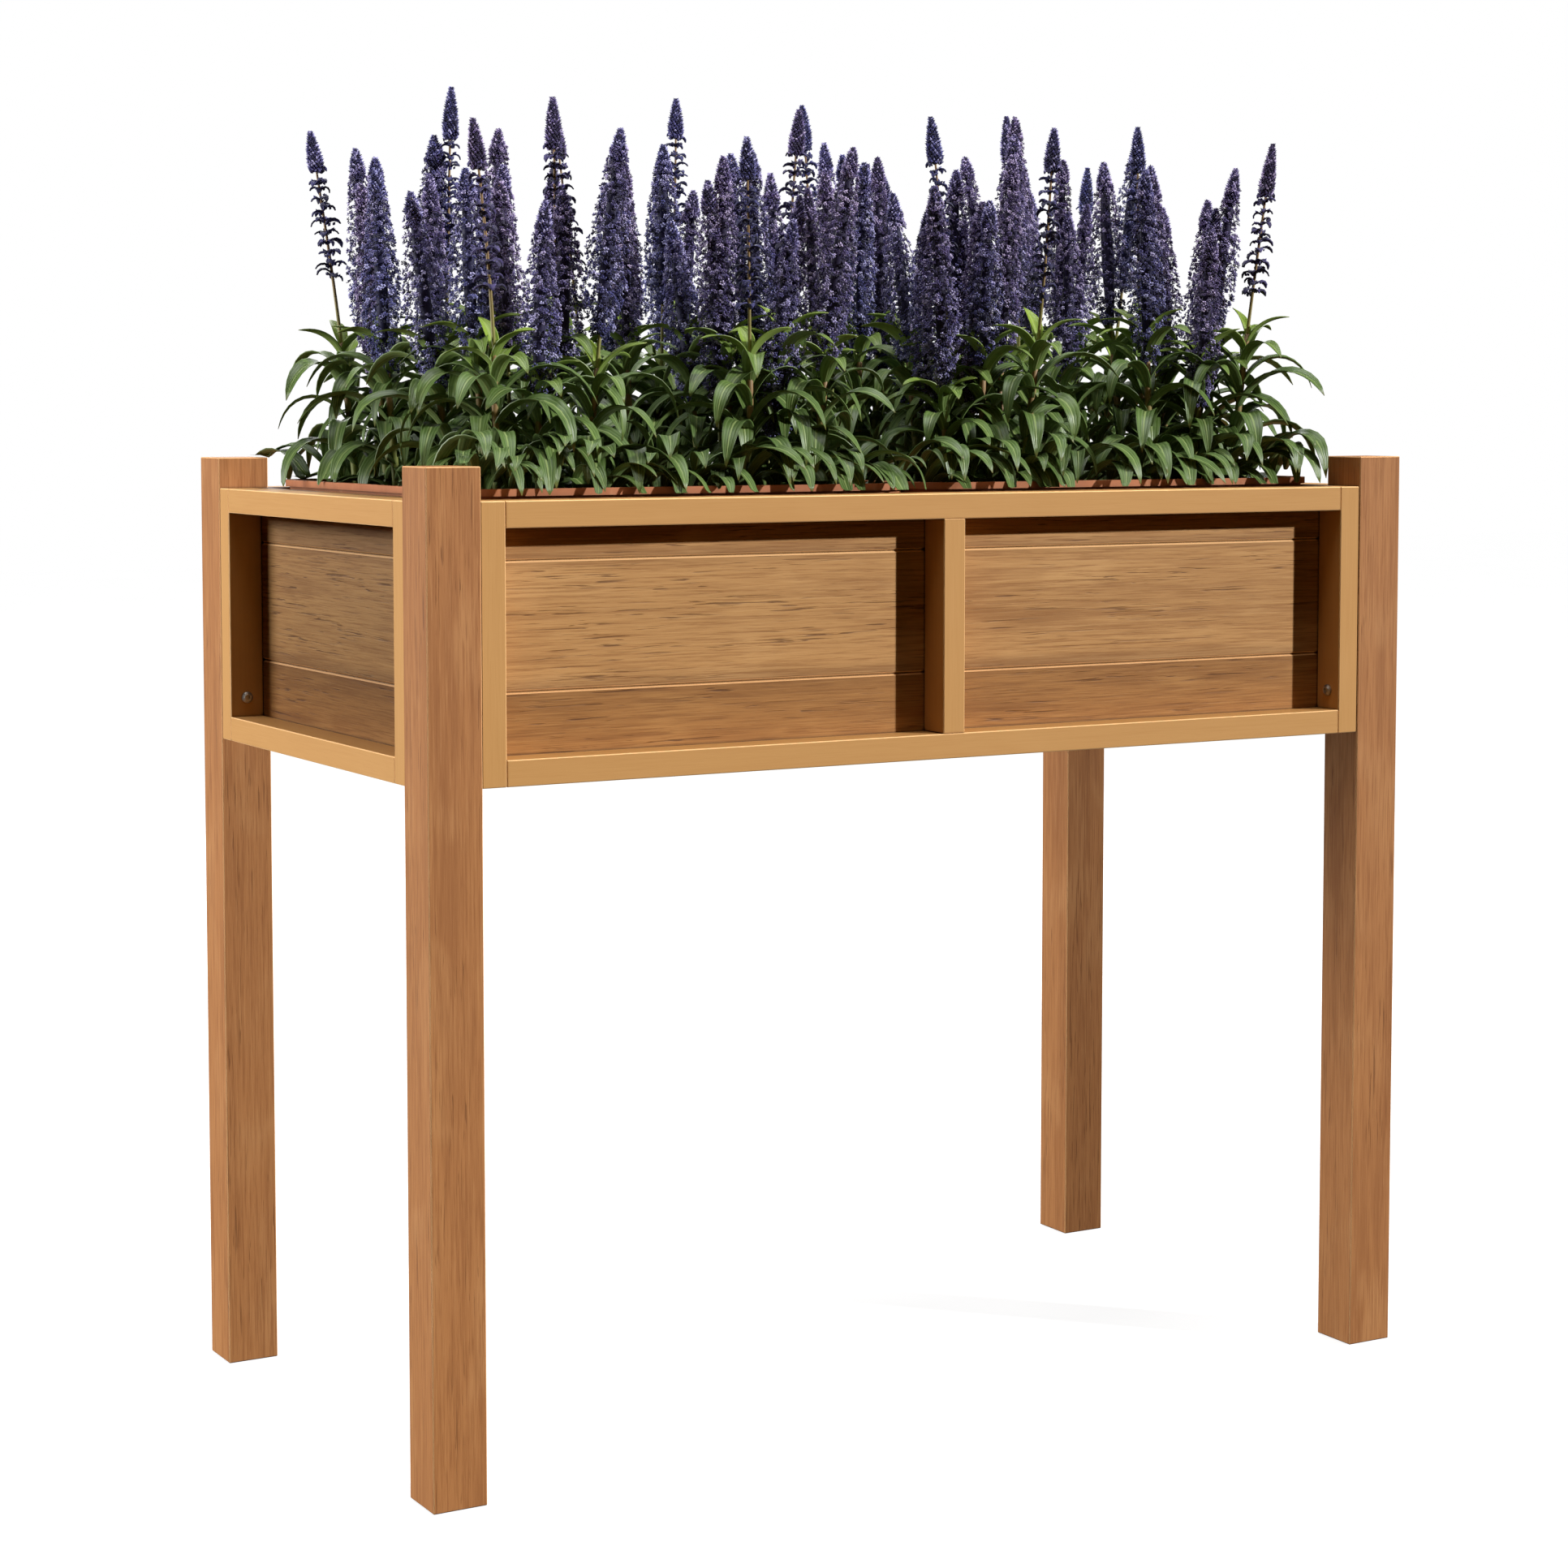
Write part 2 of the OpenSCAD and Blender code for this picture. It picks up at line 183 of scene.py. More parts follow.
def bump(tree, shader, height, strength, distance):
    """Fine relief: a height from 0 to 1, how strong it looks, and its depth in metres."""
    made = tree.nodes.new("ShaderNodeBump")
    made.inputs["Strength"].default_value = strength
    made.inputs["Distance"].default_value = distance
    put(tree, made.inputs["Height"], height)
    tree.links.new(made.outputs[0], shader.inputs["Normal"])


def rough(tree, shader, value, low, high):
    """Roughness that goes from low to high with a value from 0 to 1."""
    made = tree.nodes.new("ShaderNodeMapRange")
    put(tree, made.inputs["Value"], value)
    made.inputs["To Min"].default_value = low
    made.inputs["To Max"].default_value = high
    tree.links.new(made.outputs["Result"], shader.inputs["Roughness"])


SQUARE_FACE = 0.93        # largest part of the normal of a face that is square to an axis


def broken_edge(tree):
    """1 on the narrow faces that break an edge, and 0 on faces square to an axis."""
    geometry = tree.nodes.new("ShaderNodeNewGeometry")
    split = tree.nodes.new("ShaderNodeSeparateXYZ")
    tree.links.new(geometry.outputs["True Normal"], split.inputs[0])
    sizes = [maths(tree, "ABSOLUTE", split.outputs[axis]) for axis in range(3)]
    largest = maths(tree, "MAXIMUM", maths(tree, "MAXIMUM", sizes[0], sizes[1]), sizes[2])
    return maths(tree, "LESS_THAN", largest, SQUARE_FACE)


# ---- Wood ---------------------------------------------------------------------------------

# Body, darker band, lighter band, dark pores, and painted highlight on broken edges
POST_COLOURS = [(178, 120, 70), (148, 93, 50), (192, 137, 86), (98, 56, 26), (240, 184, 128)]
FRAME_COLOURS = [(199, 148, 86), (193, 141, 80), (203, 152, 91), (172, 118, 62), (250, 202, 142)]
BOARD_COLOURS = [(190, 141, 84), (150, 101, 52), (204, 156, 98), (92, 54, 22), (248, 200, 142)]
LOW_BOARD_COLOURS = [(163, 113, 58), (130, 84, 38), (180, 131, 73), (84, 48, 20), (240, 186, 128)]
FLOOR_COLOURS = [(168, 122, 70), (140, 98, 50), (184, 138, 82), (98, 62, 28), (200, 150, 98)]
# Colour of the painted shade in grooves, joints and inner corners
CREVICE_SHADE_COLOUR = (46, 24, 8)

# Colours, contrast and streaks of each kind of piece, as wood takes them
POST_LOOK = (POST_COLOURS, 0.9, 0.55)
FRAME_LOOK = (FRAME_COLOURS, 0.6, 0.04)
BOARD_LOOK = (BOARD_COLOURS, 0.95, 0.75)
LOW_BOARD_LOOK = (LOW_BOARD_COLOURS, 1.0, 0.8)
FLOOR_LOOK = (FLOOR_COLOURS, 1.0, 0.6)

# Reach of the dark line and of the soft shade beside a joint, and how dark the shade is
BOARD_SEAM = (0.0042, 0.016, 0.3)
BAR_SEAM = (0.0020, 0.0030, 0.0)


def seam(tree, axis, position, dark_reach, soft_reach, soft):
    """How dark a joint at a position along an axis makes the wood beside it, from 0 to 1."""
    place = tree.nodes.new("ShaderNodeTexCoord")
    split = tree.nodes.new("ShaderNodeSeparateXYZ")
    tree.links.new(place.outputs["Object"], split.inputs[0])
    away = maths(tree, "ABSOLUTE", maths(tree, "SUBTRACT", split.outputs[axis], position))
    line = times(tree, between(tree, away, dark_reach, 0.3 * dark_reach), 0.65)
    return maths(tree, "MAXIMUM", line, times(tree, between(tree, away, soft_reach, 0.002), soft))


def wood(name, axis, seed, colours, contrast, streaks, seams):
    """Planed wood with its grain along an axis.

    contrast scales the soft bands and blotches, and streaks the fine dark pores. seams says
    where the piece meets its neighbours and is darker, as the values that seam takes.
    """
    body, dark, light, pore, edge = [linear(*c) for c in colours]
    material, tree, shader = new_material(name)
    shift = (1.7 * seed, 2.3 * seed, 3.1 * seed)

    def grain(along, across, detail=2.0, roughness=0.5, distortion=0.0):
        """Noise drawn out along the grain."""
        scale = [along if i == axis else across for i in range(3)]
        return noise(tree, scale, detail, roughness, distortion, shift)

    bands = grain(2.6, 34, 3.0, 0.6, 0.5)
    blotch = grain(9, 22, 2.0, 0.5, 0.4)
    fibre = grain(17, 640, 4.0, 0.7, 0.1)
    streak = grain(9, 240, 3.0, 0.65, 0.5)
    pores = grain(19, 600, 2.0, 0.5, 0.7)
    patches = grain(5, 30, 2.0, 0.5, 0.8)

    colour = body
    for pattern, low, high, amount, tint in (
            (bands, 0.46, 0.74, 0.75, dark), (blotch, 0.5, 0.74, 0.7, light),
            (streak, 0.5, 0.72, 0.5, dark), (fibre, 0.47, 0.66, 0.75, dark),
            (fibre, 0.46, 0.3, 0.6, light)):
        strength = times(tree, between(tree, pattern, low, high), amount * contrast)
        colour = mix(tree, strength, colour, tint)
    in_patch = between(tree, patches, 0.42, 0.58)
    line = times(tree, between(tree, pores, 0.60, 0.68), in_patch, streaks)
    colour = mix(tree, line, colour, pore)
    for each in seams:
        colour = mix(tree, seam(tree, *each), colour, pore)
    open_air = exposure(tree, 0.004)
    # Painted highlight: broken edges that are open to the air are lightened to the edge colour
    edge_highlight = times(tree, broken_edge(tree), between(tree, open_air, 0.5, 0.8), 0.9)
    colour = mix(tree, edge_highlight, colour, edge)
    # Painted shade: faces in grooves, joints and corners within a few millimetres are darkened
    crevice_shade = times(tree, between(tree, open_air, 0.8, 0.3), 0.85)
    colour = mix(tree, crevice_shade, colour, linear(*CREVICE_SHADE_COLOUR))
    put(tree, shader.inputs["Base Color"], colour)

    shader.inputs["Specular IOR Level"].default_value = 0.25
    rough(tree, shader, fibre, 0.48, 0.68)
    relief = maths(tree, "SUBTRACT", times(tree, fibre, -0.5), line)
    bump(tree, shader, relief, 0.25 + 0.35 * streaks, 0.0006)
    return material


def use_material(obj, material):
    """Puts one material on every face of an object."""
    obj.data.materials.clear()
    obj.data.materials.append(material)


def long_axis(name):
    """The axis of a node's longest side, which the grain of a wooden piece follows."""
    low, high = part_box(name)
    size = high - low
    return max(range(3), key=lambda i: size[i])


def finish_wood():
    """Gives each wooden node a material of its own, so that no two pieces have the same grain."""
    for seed, (name, obj) in enumerate(sorted(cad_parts.items())):
        if name.startswith("post_"):
            look = POST_LOOK
        elif name.endswith(("_rail", "_stile", "_muntin")):
            look = FRAME_LOOK
        elif name.endswith("_board_low"):
            look = LOW_BOARD_LOOK
        elif "_board_" in name:
            look = BOARD_LOOK
        elif name.endswith("_ledger") or name.startswith("floor_slat_"):
            look = FLOOR_LOOK
        else:
            continue
        low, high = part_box(name)
        along = long_axis(name)
        if "_board_" in name:
            seams = [(2, edge, *BOARD_SEAM) for edge in (low.z, high.z)]
        elif name.endswith(("_rail", "_muntin")):
            seams = [(along, end, *BAR_SEAM) for end in (low[along], high[along])]
        else:
            seams = []
        use_material(obj, wood("wood_" + name, along, seed, *look, seams))


# ---- Metal, troughs and compost -----------------------------------------------------------


def metal(name, colour, stained, roughness):
    """Plated metal with faint turning marks and small stains."""
    material, tree, shader = new_material(name)
    marks = noise(tree, 900)
    stain = noise(tree, 160, 3.0)
    tone = mix(tree, between(tree, stain, 0.4, 0.8), linear(*colour), linear(*stained))
    put(tree, shader.inputs["Base Color"], tone)
    shader.inputs["Metallic"].default_value = 1.0
    rough(tree, shader, marks, roughness - 0.08, roughness + 0.12)
    bump(tree, shader, marks, 0.15, 0.0002)
    return material


def beech():
    """Pale turned beech with short dark flecks, for the dowels."""
    material, tree, shader = new_material("dowel_beech")
    flecks = noise(tree, 500)
    tone = mix(tree, between(tree, flecks, 0.5, 0.7), linear(214, 184, 140), linear(170, 132, 90))
    put(tree, shader.inputs["Base Color"], tone)
    shader.inputs["Roughness"].default_value = 0.7
    bump(tree, shader, flecks, 0.2, 0.0002)
    return material


def terracotta():
    """Moulded plastic in a terracotta colour: mottled, faintly grained and dusty, with painted
    shade in its corners and hollows.
    """
    material, tree, shader = new_material("terracotta_plastic")
    mottle = noise(tree, 22, 4.0, 0.6)
    grain = noise(tree, 1400)
    dust = noise(tree, (60, 60, 26), 3.0, 0.6)
    tone = mix(tree, between(tree, mottle, 0.3, 0.7), linear(160, 97, 60), linear(180, 113, 72))
    dusty = times(tree, between(tree, dust, 0.55, 0.8), 0.4)
    tone = mix(tree, dusty, tone, linear(208, 160, 120))
    # Painted shade: corners and hollows within a centimetre are darkened
    crevice_shade = times(tree, between(tree, exposure(tree, 0.01), 0.8, 0.3), 0.6)
    tone = mix(tree, crevice_shade, tone, linear(60, 32, 20))
    put(tree, shader.inputs["Base Color"], tone)
    shader.inputs["Specular IOR Level"].default_value = 0.35
    rough(tree, shader, dust, 0.5, 0.8)
    bump(tree, shader, grain, 0.25, 0.0003)
    return material


def compost_material():
    """Dark crumbly bark compost with pale fibres and grit."""
    material, tree, shader = new_material("compost")
    crumbs = noise(tree, 240, 5.0, 0.7)
    flecks = noise(tree, 420, 1.0)
    tone = mix(tree, between(tree, crumbs, 0.35, 0.7), linear(30, 21, 15), linear(74, 52, 37))
    tone = mix(tree, between(tree, flecks, 0.70, 0.74), tone, linear(140, 108, 78))
    put(tree, shader.inputs["Base Color"], tone)
    shader.inputs["Roughness"].default_value = 0.95
    shader.inputs["Specular IOR Level"].default_value = 0.1
    bump(tree, shader, crumbs, 0.9, 0.002)
    return material


# ---- Mesh building ------------------------------------------------------------------------


def outline(faces):
    """Faces as two flat arrays: their corners one after another, and each face's corner count."""
    return np.concatenate([np.array(f) for f in faces]), np.array([len(f) for f in faces])


def ring_outline(rings, sides):
    """Faces of a closed tube made of rings that each have the same number of points."""
    faces = []
    for r in range(rings - 1):
        for s in range(sides):
            a, b = r * sides + s, r * sides + (s + 1) % sides
            faces.append((a, b, b + sides, a + sides))
    faces.append(tuple(reversed(range(sides))))
    faces.append(tuple((rings - 1) * sides + s for s in range(sides)))
    return outline(faces)


class Shape:
    """Closed pieces gathered one by one, with values at their points, then made into an object."""

    def __init__(self, *values):
        self.points, self.corners, self.sizes = [], [], []
        self.values = {name: [] for name in values}
        self.count = 0

    def add(self, points, faces, **values):
        """Adds one piece, or many copies of one outline: points is copies x points x 3.

        A value is one number, or one for each copy, or one for each point.
        """
        points = np.asarray(points, float)
        points = points.reshape((-1,) + points.shape[-2:])
        copies, size = points.shape[:2]
        starts = self.count + size * np.arange(copies)
        corners, sizes = faces
        self.points.append(points.reshape(-1, 3))
        self.corners.append((corners[None, :] + starts[:, None]).reshape(-1))
        self.sizes.append(np.tile(sizes, copies))
        for name, gathered in self.values.items():
            value = np.asarray(values.get(name, 0.0), float)
            if value.shape == (copies,) and copies != size:
                value = value[:, None]
            gathered.append(np.broadcast_to(value, (copies, size)).reshape(-1))
        self.count += copies * size

    def make(self, name, material):
        """The finished smooth-shaded object, with its values as attributes."""
        points = np.concatenate(self.points)
        corners = np.concatenate(self.corners)
        sizes = np.concatenate(self.sizes)
        mesh = bpy.data.meshes.new(name)
        mesh.vertices.add(len(points))
        mesh.vertices.foreach_set("co", points.astype(np.float32).reshape(-1))
        mesh.loops.add(len(corners))
        mesh.loops.foreach_set("vertex_index", corners.astype(np.int32))
        mesh.polygons.add(len(sizes))
        starts = np.concatenate([[0], np.cumsum(sizes)[:-1]])
        mesh.polygons.foreach_set("loop_start", starts.astype(np.int32))
        mesh.polygons.foreach_set("use_smooth", np.ones(len(sizes), bool))
        for value_name, gathered in self.values.items():
            layer = mesh.attributes.new(value_name, "FLOAT", "POINT")
            layer.data.foreach_set("value", np.concatenate(gathered).astype(np.float32))
        mesh.update(calc_edges=True)
        mesh.validate()
        obj = bpy.data.objects.new(name, mesh)
        bpy.context.collection.objects.link(obj)
        use_material(obj, material)
        return obj


def unit(vectors):
    """Vectors scaled to a length of 1."""
    return vectors / np.linalg.norm(vectors, axis=-1, keepdims=True)


def around(angle, rise):
    """Unit directions at an angle round the vertical and an angle above level."""
    angle, rise = np.broadcast_arrays(angle, rise)
    level = np.cos(rise)
    return np.stack([np.cos(angle) * level, np.sin(angle) * level, np.sin(rise)], axis=-1)


def turns(directions, spins):
    """For each direction, the axes of a frame whose Z is that direction, spun about it."""
    upright = np.abs(directions[:, 2:]) < 0.9
    helper = np.where(upright, UP, np.array([1.0, 0, 0]))
    x = unit(np.cross(helper, directions))
    y = np.cross(directions, x)
    c, s = np.cos(spins)[:, None], np.sin(spins)[:, None]
    return np.stack([c * x + s * y, c * y - s * x, directions], axis=1)


def add_copies(shape, part, places, directions, sizes, spins, **values):
    """Adds a small part at many places, each with its own direction, size and spin."""
    points, faces = part
    scaled = points[None] * np.asarray(sizes).reshape(len(places), -1)[:, None, :]
    shape.add(scaled @ turns(directions, spins) + places[:, None], faces, **values)


# ---- Parts of a plant ---------------------------------------------------------------------


class Blade:
    """Outline and section of a leaf: rings from base to tip, each from edge to edge and back."""

    def __init__(self, rings, upper, under):
        self.rings = rings
        self.place = np.array(upper + under, float)
        self.is_under = np.array([0.0] * len(upper) + [1.0] * len(under))
        self.faces = ring_outline(rings, len(self.place))


LEAF = Blade(13, [-1, -0.9, -0.5, 0, 0.5, 0.9, 1], [0.9, 0, -0.9])
BRACT = Blade(6, [-1, 0, 1], [0.6, -0.6])


def add_leaf(shape, blade, base, heading, rise, length, width, droop, fold, twist, tone,
             thickness=0.0005, keep=None, **values):
    """One lance-shaped leaf that leaves its stem at an angle above level and arches over.

    heading is its direction seen from above, rise its angle at the stem, and droop how far it
    turns down by the tip. keep moves points that would go where the leaf can't.
    """
    t = np.linspace(0, 1, blade.rings)
    bend = t * t * (3 - 2 * t)
    angle = rise - droop * bend
    step = length / (blade.rings - 1)
    ahead = around(heading, 0.0)
    side = np.array([-ahead[1], ahead[0], 0.0])
    run = np.concatenate([[0], np.cumsum(np.cos(angle[:-1]) * step)])
    climb = np.concatenate([[0], np.cumsum(np.sin(angle[:-1]) * step)])
    middle = base + run[:, None] * ahead + climb[:, None] * UP
    normal = -np.sin(angle)[:, None] * ahead + np.cos(angle)[:, None] * UP
    c, s = np.cos(twist * t)[:, None], np.sin(twist * t)[:, None]
    across, normal = c * side + s * normal, c * normal - s * side
    half = 0.5 * width * (t / 0.43) ** 0.6 * ((1 - t) / 0.57) ** 0.85
    half = np.maximum(half, 0.13 * width * (1 - t) ** 3) + 0.0002
    place = blade.place
    lift = (fold * np.abs(place)[None] ** 1.3 * half[:, None] * (1 - 0.5 * t)[:, None]
            - blade.is_under[None] * thickness)
    points = (middle[:, None] + (place[None] * half[:, None])[..., None] * across[:, None]
              + lift[..., None] * normal[:, None])
    if keep:
        points = keep(points)
    count = len(place)
    shape.add(points.reshape(-1, 3), blade.faces, tone=tone, along=np.repeat(t, count),
              across=np.tile(place, blade.rings), under=np.tile(blade.is_under, blade.rings),
              **values)


def add_stem(shape, path, radii, sides=6):
    """A closed round stem along a nearly upright path."""
    path = np.asarray(path, float)
    tangent = unit(np.gradient(path, axis=0))
    x = unit(np.cross(tangent, np.array([0.0, 1.0, 0.0])))
    y = np.cross(tangent, x)
    turn = np.linspace(0, 2 * math.pi, sides, endpoint=False)
    ring = np.cos(turn)[None, :, None] * x[:, None] + np.sin(turn)[None, :, None] * y[:, None]
    points = path[:, None] + ring * np.asarray(radii)[:, None, None]
    along = np.repeat(np.linspace(0, 1, len(path)), sides)
    shape.add(points.reshape(-1, 3), ring_outline(len(path), sides), along=along)


def floret_part():
    """A floret of five petals that spread from its base, as unit points and faces."""
    points, faces = [], []
    for k in range(5):
        turn = 2 * math.pi / 5 * k
        c, s = math.cos(turn), math.sin(turn)
        high = 0.75 if k % 2 else 0.35
        for out, wide, up in ((0.05, 0, -0.3), (0.65, 0.40, high), (0.65, -0.40, high),
                              (1.1, 0, 0.7 * high)):
            points.append((out * c - wide * s, out * s + wide * c, up))
        n = 4 * k
        faces += [(n, n + 2, n + 1), (n, n + 1, n + 3), (n, n + 3, n + 2), (n + 1, n + 2, n + 3)]
    return np.array(points), outline(faces)


def bud_part():
    """A closed bud with five sides, as unit points and faces."""
    ring = [(0.8 * math.cos(1.2566 * k), 0.8 * math.sin(1.2566 * k), -0.1) for k in range(5)]
    points = [(0, 0, -1.0)] + ring + [(0, 0, 1.2)]
    faces = [(0, (k + 1) % 5 + 1, k + 1) for k in range(5)]
    faces += [(6, k + 1, (k + 1) % 5 + 1) for k in range(5)]
    return np.array(points), outline(faces)


FLORET = floret_part()
BUD = bud_part()
FLORET_SIZES = (0.0018, 0.0031)
CONE_BUD = (0.0016, 0.0016, 0.0024)
WHORL_BUD_SIZES = (0.0013, 0.0021)
BUDS_PER_METRE = 5600
FLORETS_PER_METRE = 5300
WHORL_SPACING = 0.0098
BRACTS_IN_WHORL = 4
BUDS_ON_BRACT = 3


def add_core(shape, axis_at, low, high, radius, tone, hue):
    """A closed core inside a spike, between two heights up its stalk, dark as painted shade among
    its buds and florets.
    """
    t = np.linspace(0, 1, 7)
    profile = radius * np.sin(math.pi * (0.12 + 0.80 * t)) ** 0.6
    turn = np.linspace(0, 2 * math.pi, 8, endpoint=False)
    points = axis_at(low + t * (high - low))[:, None] + profile[:, None, None] * around(turn, 0.0)
    shape.add(points.reshape(-1, 3), ring_outline(7, 8), tone=tone, hue=hue)


def add_cone(shape, draw, axis_at, low, high, radius, tone, hue):
    """The tip of a spike, between two heights up its stalk: buds packed in a spiral."""
    count = int(BUDS_PER_METRE * (high - low))
    t = (np.arange(count) + 0.5) / count
    angle = GOLDEN_TURN * np.arange(count)
    reach = radius * (1 - 0.85 * t ** 2.2) * (0.8 + 0.2 * np.minimum(1, 5 * t))
    places = axis_at(low + t * (high - low)) + reach[:, None] * around(angle, 0.0)
    scale = (1 - 0.3 * t) * draw.uniform(0.8, 1.25, count)
    sizes = np.array(CONE_BUD) * scale[:, None]
    facing = around(angle, 0.5 + draw.uniform(-0.3, 0.3, count))
    # Painted shade: a dark core fills the gaps between the buds
    add_core(shape, axis_at, low, high - 0.007, 0.7 * radius, 0.0, hue)
    # Painted highlights: a share of the buds, set by tone, are light as if they caught the light;
    # the others are dark
    add_copies(shape, BUD, places, facing, sizes, np.zeros(count),
               tone=np.where(draw.random(count) < tone, draw.uniform(0.6, 1.0, count),
                             draw.uniform(0.0, 0.4, count)), hue=hue)


def add_plume(shape, draw, axis_at, low, high, radius, hue):
    """A dense fuzzy plume of open florets round a stalk, widest a third of the way up."""
    count = int(FLORETS_PER_METRE * (high - low))
    t = draw.random(count)
    angle = draw.uniform(0, 2 * math.pi, count)
    shape_at = np.minimum(1, 0.5 + 2.0 * t) * np.minimum(1, 0.42 + 1.15 * (1 - t)) ** 1.1
    depth = draw.random(count) ** 0.5
    reach = radius * shape_at * (0.3 + 0.82 * depth)
    places = axis_at(low + t * (high - low)) + reach[:, None] * around(angle, 0.0)
    sizes = draw.uniform(*FLORET_SIZES, count) * (1 - 0.2 * t)
    facing = around(angle + draw.uniform(-0.5, 0.5, count), draw.uniform(-0.2, 1.0, count))
    # Painted shade and highlights: florets nearer the stalk are darker, where shade falls inside
    # the plume, and the lightest stand for highlights, with a random spread of colour besides
    tone = np.clip(draw.normal(0.12 + 0.52 * depth, 0.34), 0, 1)
    # Painted shade: a dark core fills the gaps between the florets
    add_core(shape, axis_at, low, high, 0.35 * radius, 0.0, hue)
    add_copies(shape, FLORET, places, facing, sizes, draw.uniform(0, 6, count), tone=tone,
               hue=np.clip(hue + 0.7 * (t - 0.5) + draw.normal(0, 0.12, count), 0, 1))


def add_whorls(shape, draw, axis_at, low, high, reach, hue):
    """Loose whorls of dark hooked bracts round a stalk, with a few buds in each."""
    count = max(2, round((high - low) / WHORL_SPACING))
    for w in range(count):
        up = low + (w + 0.5) * (high - low) / count
        closing = 1 - 0.35 * (w / count) ** 2
        for k in range(BRACTS_IN_WHORL):
            angle = 1.1 * w + k * math.pi / 2 + draw.uniform(-0.4, 0.4)
            start = axis_at(up + draw.uniform(-0.003, 0.003))
            length = reach * closing * draw.uniform(0.75, 1.15)
            add_leaf(shape, BRACT, start, angle, draw.uniform(0.3, 0.8), length,
                     0.45 * length, draw.uniform(1.2, 2.2), 0.4, draw.uniform(-0.5, 0.5),
                     tone=0.3 * draw.random(), thickness=0.0012, hue=hue)
            buds = BUDS_ON_BRACT
            places = start + around(angle, 0.3) * draw.uniform(0.1, 0.6, buds)[:, None] * length
            places = places + draw.uniform(-0.0015, 0.0015, (buds, 3))
            add_copies(shape, BUD, places, around(np.full(buds, angle), 0.9),
                       draw.uniform(*WHORL_BUD_SIZES, buds), np.zeros(buds),
                       tone=np.clip(draw.normal(0.35, 0.2, buds), 0, 1), hue=hue)


# ---- Plant materials ----------------------------------------------------------------------


def leaf_material():
    """Satin leaf with a pale midrib, faint long veins and yellow-green young growth."""
    material, tree, shader = new_material("leaf")
    across = attribute(tree, "across")
    along = attribute(tree, "along")
    cloud = noise(tree, 60, 3.0)
    old = mix(tree, cloud, linear(50, 74, 27), linear(92, 118, 56))
    young = mix(tree, cloud, linear(108, 138, 32), linear(148, 170, 62))
    colour = mix(tree, between(tree, attribute(tree, "tone"), 0.1, 1.0), old, young)
    veins = maths(tree, "SINE", times(tree, across, 17.0))
    colour = mix(tree, times(tree, between(tree, veins, 0.2, 1.0), 0.4), colour,
                 linear(132, 152, 98))
    rib = between(tree, maths(tree, "ABSOLUTE", across), 0.15, 0.03)
    fading = maths(tree, "SUBTRACT", 1.0, times(tree, along, 0.6))
    colour = mix(tree, times(tree, rib, fading, 0.75), colour, linear(168, 184, 116))
    colour = mix(tree, times(tree, attribute(tree, "under"), 0.35), colour, linear(122, 140, 92))
    colour = mix(tree, times(tree, between(tree, along, 0.93, 1.0), 0.5), colour,
                 linear(128, 116, 60))
    put(tree, shader.inputs["Base Color"], colour)
    shader.inputs["Specular IOR Level"].default_value = 0.45
    rough(tree, shader, cloud, 0.34, 0.52)
    bump(tree, shader, maths(tree, "SUBTRACT", times(tree, veins, 0.25), rib), 0.35, 0.0006)
    return material


def stem_material():
    """Ridged stem, green low down and browner towards the flowers."""
    material, tree, shader = new_material("stem")
    ridges = noise(tree, (900, 900, 30))
    green = mix(tree, ridges, linear(104, 116, 48), linear(150, 156, 78))
    brown = mix(tree, ridges, linear(120, 90, 54), linear(164, 132, 86))
    colour = mix(tree, between(tree, attribute(tree, "along"), 0.3, 0.75), green, brown)
    put(tree, shader.inputs["Base Color"], colour)
    shader.inputs["Roughness"].default_value = 0.55
    bump(tree, shader, ridges, 0.4, 0.0003)
    return material


def petal_material():
    """Soft petals from indigo to mauve; their tone from near black to pale lavender is partly
    colour and partly painted shade and highlights.
    """
    material, tree, shader = new_material("petals")
    tone = attribute(tree, "tone")
    specks = noise(tree, 700)
    shade = maths(tree, "ADD", tone, times(tree, maths(tree, "SUBTRACT", specks, 0.5), 0.5))
    hue = attribute(tree, "hue")
    dark = mix(tree, hue, linear(27, 27, 64), linear(40, 31, 60))
    middle = mix(tree, hue, linear(78, 80, 146), linear(98, 80, 134))
    light = mix(tree, hue, linear(184, 184, 232), linear(202, 184, 222))
    colour = mix(tree, between(tree, shade, 0.0, 0.55), dark, middle)
    colour = mix(tree, between(tree, shade, 0.6, 1.0), colour, light)
    put(tree, shader.inputs["Base Color"], colour)
    shader.inputs["Roughness"].default_value = 0.6
    shader.inputs["Specular IOR Level"].default_value = 0.25
    shader.inputs["Sheen Weight"].default_value = 0.2
    bump(tree, shader, specks, 0.3, 0.0003)
    return material


# ---- Planting -----------------------------------------------------------------------------

# Stalks of one plant, and the most that one is shorter than the tallest, as in the CAD model
STALKS = 8
SIDE_STALKS = 3
SPIKE_DROP = 0.07
STALK_RADII = (0.0026, 0.0009)
STALK_RINGS = 14

# How far the tips of each row are below the CAD model's, and which stalks are open spires
ROW_DROP = {"front": 0.034, "back": 0.006}
ROW_SPIRES = {"front": (0, 5), "back": (0, 3)}
OUTWARD_SPREAD = 0.16
PLUME_DROP = (0.0, 0.05)
SIDE_PLUME_DROP = (0.03, 0.095)

# Flowers: length of the tip and of the whole spike, and radius of each
SPIRE_TIP = (0.036, 0.05)
SPIRE_LENGTH = (0.13, 0.17)
SPIRE_TIP_RADIUS = 0.0064
SPIRE_REACH = 0.0165
PLUME_TIP = (0.022, 0.034)
PLUME_LENGTH = (0.145, 0.2)
PLUME_TIP_RADIUS = 0.0062
PLUME_RADIUS = (0.0135, 0.0175)

